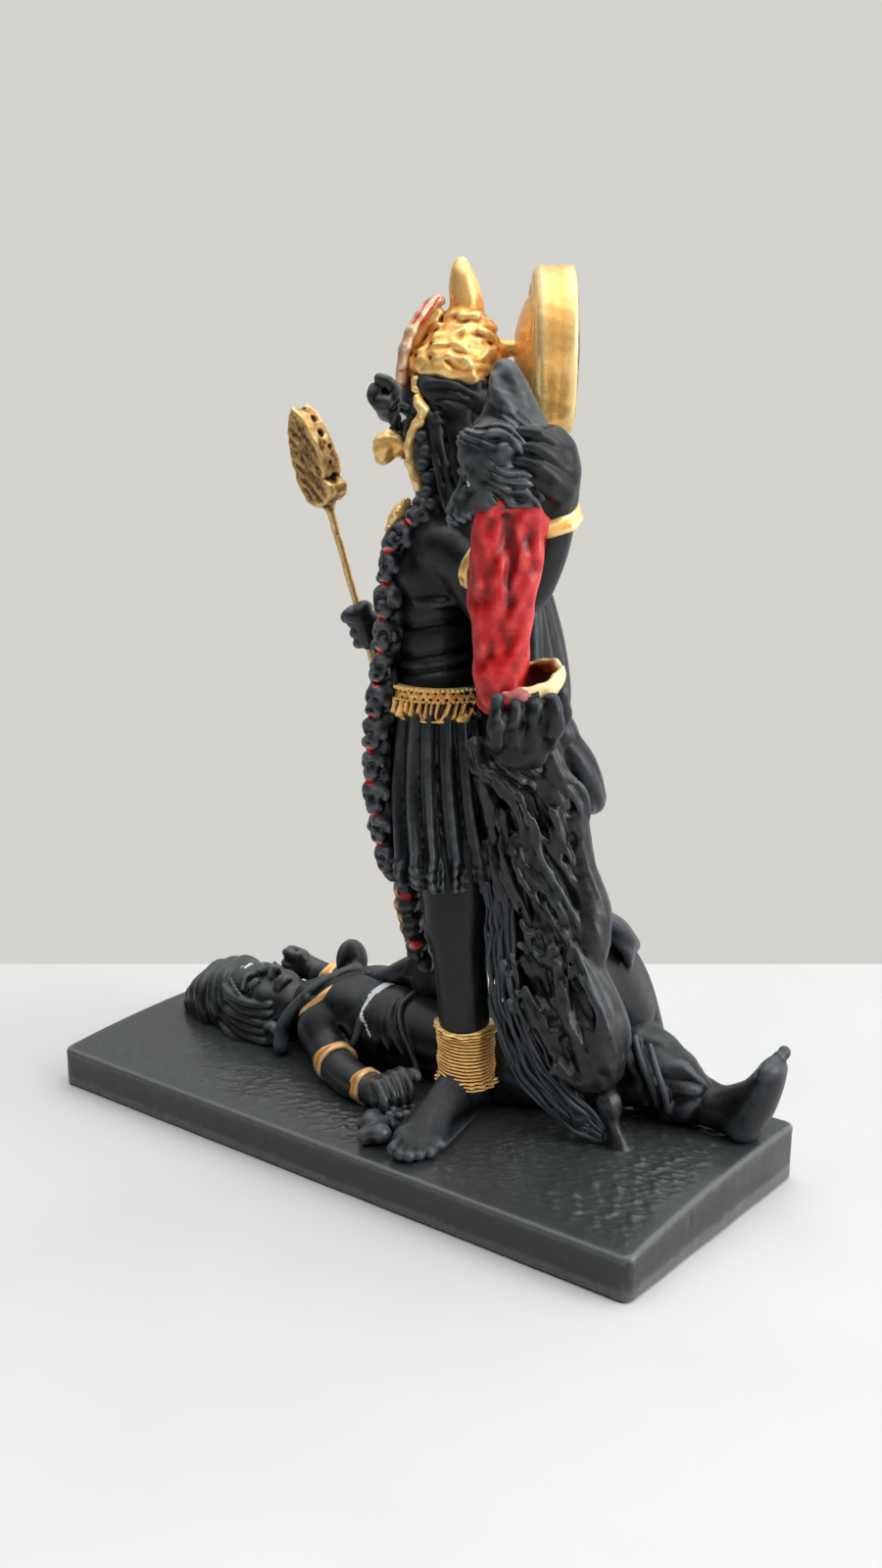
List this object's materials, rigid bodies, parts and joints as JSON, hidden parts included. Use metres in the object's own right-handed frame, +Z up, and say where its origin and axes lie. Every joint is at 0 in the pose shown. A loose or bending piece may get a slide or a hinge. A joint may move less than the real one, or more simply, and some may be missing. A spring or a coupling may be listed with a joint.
{
  "type": "kali figure",
  "caption": "Cast goddess figure with crown, halo, garland, skirt, severed head and bowl, standing on a lying god on an oblong plinth, with a leaf-headed staff in one fist.",
  "frame": {"origin": "centre of the plinth's flat underside", "axes": "+Z up, +X along the plinth towards the lying god's feet, -Y towards the plinth's long front side"},
  "size_m": [0.1564, 0.0626, 0.1792],
  "materials": {
    "black_resin": "matte black paint on cast resin, dry-brushed grey on the high places",
    "gilding": "bright gold paint with dark recesses"
  },
  "bodies": {
    "root": {"cast_group": "black_resin", "staff": "gilding"}
  },
  "joints": []
}
